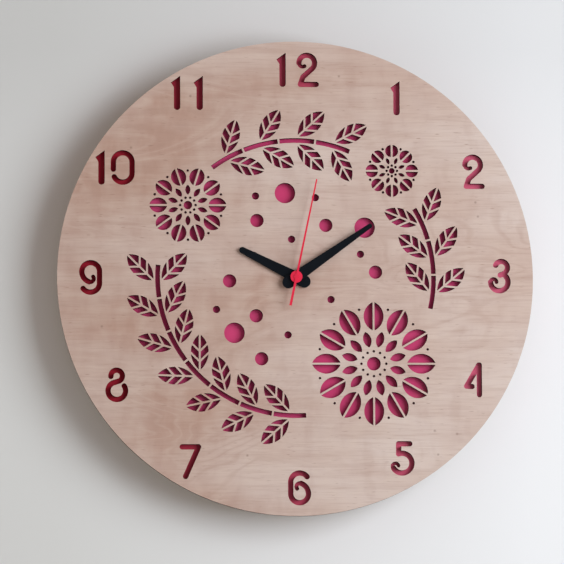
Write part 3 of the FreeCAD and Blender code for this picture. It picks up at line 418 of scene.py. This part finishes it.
def room_paint_with_painted_shade(name, tint):
    """Matt paint with painted shade: darker toward the left of the clock and above it."""
    paint = Finish(name, 0.9)
    cloud = paint.remap(paint.noise(2, detail=2), 0.3, 0.7, 0.0, 0.12)
    # Painted shade: the paint darkens toward the left of the clock, and above it by a multiply, with a
    # faint random cloud.
    painted_shade_leftward = paint.remap(paint.x, face_radius, -face_radius, 0.0, 0.75)
    base = paint.mix(paint.calc("ADD", cloud, painted_shade_leftward), tint, colour(213, 215, 214))
    painted_shade_upward = paint.remap(paint.z, 0.0, face_radius, 0.0, 0.85)
    base = paint.mix(painted_shade_upward, base, colour(236, 236, 236), blend_type="MULTIPLY")
    paint.bump(paint.noise(500, detail=2), depth=0.0001, strength=0.15)
    paint.paint(base)
    return paint


def pale(paint, tint):
    """Keeps the floor pale where it is seen, and leaves it room for shadows."""
    shown = paint.add("ShaderNodeEmission", {"Color": tint}).outputs[0]
    share = paint.calc("MULTIPLY", paint.seen(), floor_shown_share)
    paint.feed(paint.surface, paint.blend(share, paint.shader.outputs[0], shown))
    return paint.material


def one_sided(paint):
    """Hides the wall from behind, and lets a lamp behind it light the back of the clock."""
    clear = paint.add("ShaderNodeBsdfTransparent").outputs[0]
    behind = paint.add("ShaderNodeNewGeometry").outputs["Backfacing"]
    shadow = paint.add("ShaderNodeLightPath").outputs["Is Shadow Ray"]
    hidden = paint.calc("MAXIMUM", behind, shadow)
    paint.feed(paint.surface, paint.blend(hidden, paint.shader.outputs[0], clear))
    return paint.material


wall_corners = [
    (-room_half_width, wall_gap, floor_level),
    (room_half_width, wall_gap, floor_level),
    (room_half_width, wall_gap, room_height),
    (-room_half_width, wall_gap, room_height),
]
floor_corners = [
    (-room_half_width, -room_depth, floor_level),
    (room_half_width, -room_depth, floor_level),
    (room_half_width, room_depth, floor_level),
    (-room_half_width, room_depth, floor_level),
]
sheet_of("wall", wall_corners, one_sided(room_paint_with_painted_shade("wall_paint", wall_tint)))
sheet_of("floor", floor_corners, pale(room_paint_with_painted_shade("floor_paint", floor_tint), floor_tint))


# Lamps and room light


def lamp(name, place, side, power, tint):
    """A square area lamp that looks at the dial. Place and side are in metres, power in watts."""
    data = bpy.data.lights.new(name, "AREA")
    data.shape = "SQUARE"
    data.size = side
    data.energy = power
    data.color = tint
    light = bpy.data.objects.new(name, data)
    light.location = place
    light.rotation_mode = "QUATERNION"
    light.rotation_quaternion = (face_middle - Vector(place)).to_track_quat("-Z", "Y")
    bpy.context.scene.collection.objects.link(light)


lamp("key_lamp", place=(1.05, -1.12, 0.13), side=1.1, power=22.5, tint=(0.93, 0.965, 1.0))
lamp("back_lamp", place=(-0.7, 1.5, 0.8), side=1.0, power=20.0, tint=(1.0, 0.97, 0.93))

world = bpy.data.worlds.new("room_light")
bpy.context.scene.world = world
world.use_nodes = True
room = Tree(world.node_tree)
soft_light = world.node_tree.nodes["Background"]
soft_light.inputs["Color"].default_value = colour(246, 233, 222)
soft_light.inputs["Strength"].default_value = 0.44
shown_light = room.add("ShaderNodeBackground", {"Color": colour(236, 237, 237)})
both_lights = room.blend(room.seen(), soft_light.outputs[0], shown_light.outputs[0])
room.feed(world.node_tree.nodes["World Output"].inputs["Surface"], both_lights)


# The camera stands a little below and to the left of the clock, far off, with a long lens.
# Pixel places are in the photograph's frame.

frame_pixels = 564
disc_centre_pixel = (295.8, 277.6)
disc_half_width_pixels = 238.5
camera_azimuth = math.radians(-4.0)
camera_elevation = math.radians(-6.0)
camera_distance = 3.0
camera_roll = math.radians(-0.3)
sensor_width = 36.0

metres_per_pixel = face_radius / disc_half_width_pixels
offset_right = (frame_pixels / 2 - disc_centre_pixel[0]) * metres_per_pixel
offset_up = (disc_centre_pixel[1] - frame_pixels / 2) * metres_per_pixel
level_reach = math.cos(camera_elevation)
back_way = Vector(
    (
        math.sin(camera_azimuth) * level_reach,
        -math.cos(camera_azimuth) * level_reach,
        math.sin(camera_elevation),
    )
)
turn = (-back_way).to_track_quat("-Z", "Y").to_matrix() @ Matrix.Rotation(camera_roll, 3, "Z")
aim = face_middle + turn @ Vector((offset_right, offset_up, 0))

camera_data = bpy.data.cameras.new("camera")
camera_data.sensor_width = sensor_width
camera_data.lens = sensor_width * camera_distance / (frame_pixels * metres_per_pixel)
camera_data.clip_end = 40.0
camera = bpy.data.objects.new("camera", camera_data)
camera.rotation_mode = "QUATERNION"
camera.rotation_quaternion = turn.to_quaternion()
camera.location = aim + back_way * camera_distance
bpy.context.scene.collection.objects.link(camera)
bpy.context.scene.camera = camera
bpy.context.scene.view_settings.view_transform = "Standard"
